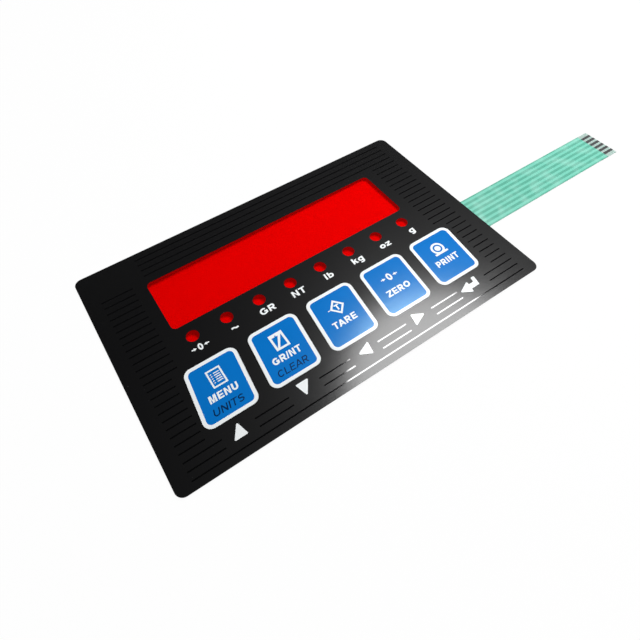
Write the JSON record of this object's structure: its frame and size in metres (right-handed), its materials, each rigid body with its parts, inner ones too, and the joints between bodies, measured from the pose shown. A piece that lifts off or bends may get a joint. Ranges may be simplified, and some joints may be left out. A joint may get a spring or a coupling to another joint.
{
  "type": "membrane keypad",
  "caption": "Thin laminated membrane keypad with a red display window, a row of indicator windows, leaning snap-dome keys and a flat ribbon tail.",
  "frame": {"origin": "middle of the rear face of the release liner, behind the panel's middle", "axes": "+X right, towards the tail; +Y up the panel, towards the display window; +Z out of the front"},
  "size_m": [0.239, 0.0996, 0.0012],
  "materials": {
    "liner_paper": "coated release paper, satin",
    "adhesive": "clear acrylic adhesive",
    "clear_polyester": "clear polyester film",
    "silver_ink": "screen-printed silver ink, satin",
    "green_coat": "translucent green insulating ink, satin",
    "carbon_ink": "carbon ink, matt",
    "stiffener_film": "white polyester, satin",
    "spacer_film": "white polyester with adhesive faces",
    "dome_steel": "stainless spring steel",
    "black_film": "black-printed polycarbonate, fine matt texture",
    "red_film": "see-through red film, gloss",
    "white_ink": "white print under matt film",
    "blue_film": "blue-printed polycarbonate, fine matt texture",
    "gloss_lacquer": "clear gloss lacquer on black"
  },
  "bodies": {
    "panel": {"release_liner": "liner_paper", "rear_adhesive": "adhesive", "circuit_film": "clear_polyester", "silver_traces": "silver_ink", "dielectric_coat": "green_coat", "carbon_contacts": "carbon_ink", "tail_stiffener": "stiffener_film", "dome_retainer": "spacer_film", "snap_dome_1": "dome_steel", "snap_dome_2": "dome_steel", "snap_dome_3": "dome_steel", "snap_dome_4": "dome_steel", "snap_dome_5": "dome_steel", "spacer": "spacer_film", "overlay": "black_film", "display_window": "red_film", "indicator_windows": "red_film", "gloss_stripes": "gloss_lacquer", "printed_marks": "white_ink"},
    "key_1": {"key_border_1": "white_ink", "key_face_1": "blue_film"},
    "key_2": {"key_border_2": "white_ink", "key_face_2": "blue_film"},
    "key_3": {"key_border_3": "white_ink", "key_face_3": "blue_film"},
    "key_4": {"key_border_4": "white_ink", "key_face_4": "blue_film"},
    "key_5": {"key_border_5": "white_ink", "key_face_5": "blue_film"}
  },
  "joints": [
    {"name": "key_1_press", "type": "slide", "parent": "panel", "child": "key_1", "axis": [0, 0, -1], "range_m": [0, 0.0003], "stiffness_N_per_m": 8000, "deforming": ["snap_dome_1"]},
    {"name": "key_2_press", "type": "slide", "parent": "panel", "child": "key_2", "axis": [0, 0, -1], "range_m": [0, 0.0003], "stiffness_N_per_m": 8000, "deforming": ["snap_dome_2"]},
    {"name": "key_3_press", "type": "slide", "parent": "panel", "child": "key_3", "axis": [0, 0, -1], "range_m": [0, 0.0003], "stiffness_N_per_m": 8000, "deforming": ["snap_dome_3"]},
    {"name": "key_4_press", "type": "slide", "parent": "panel", "child": "key_4", "axis": [0, 0, -1], "range_m": [0, 0.0003], "stiffness_N_per_m": 8000, "deforming": ["snap_dome_4"]},
    {"name": "key_5_press", "type": "slide", "parent": "panel", "child": "key_5", "axis": [0, 0, -1], "range_m": [0, 0.0003], "stiffness_N_per_m": 8000, "deforming": ["snap_dome_5"]}
  ]
}
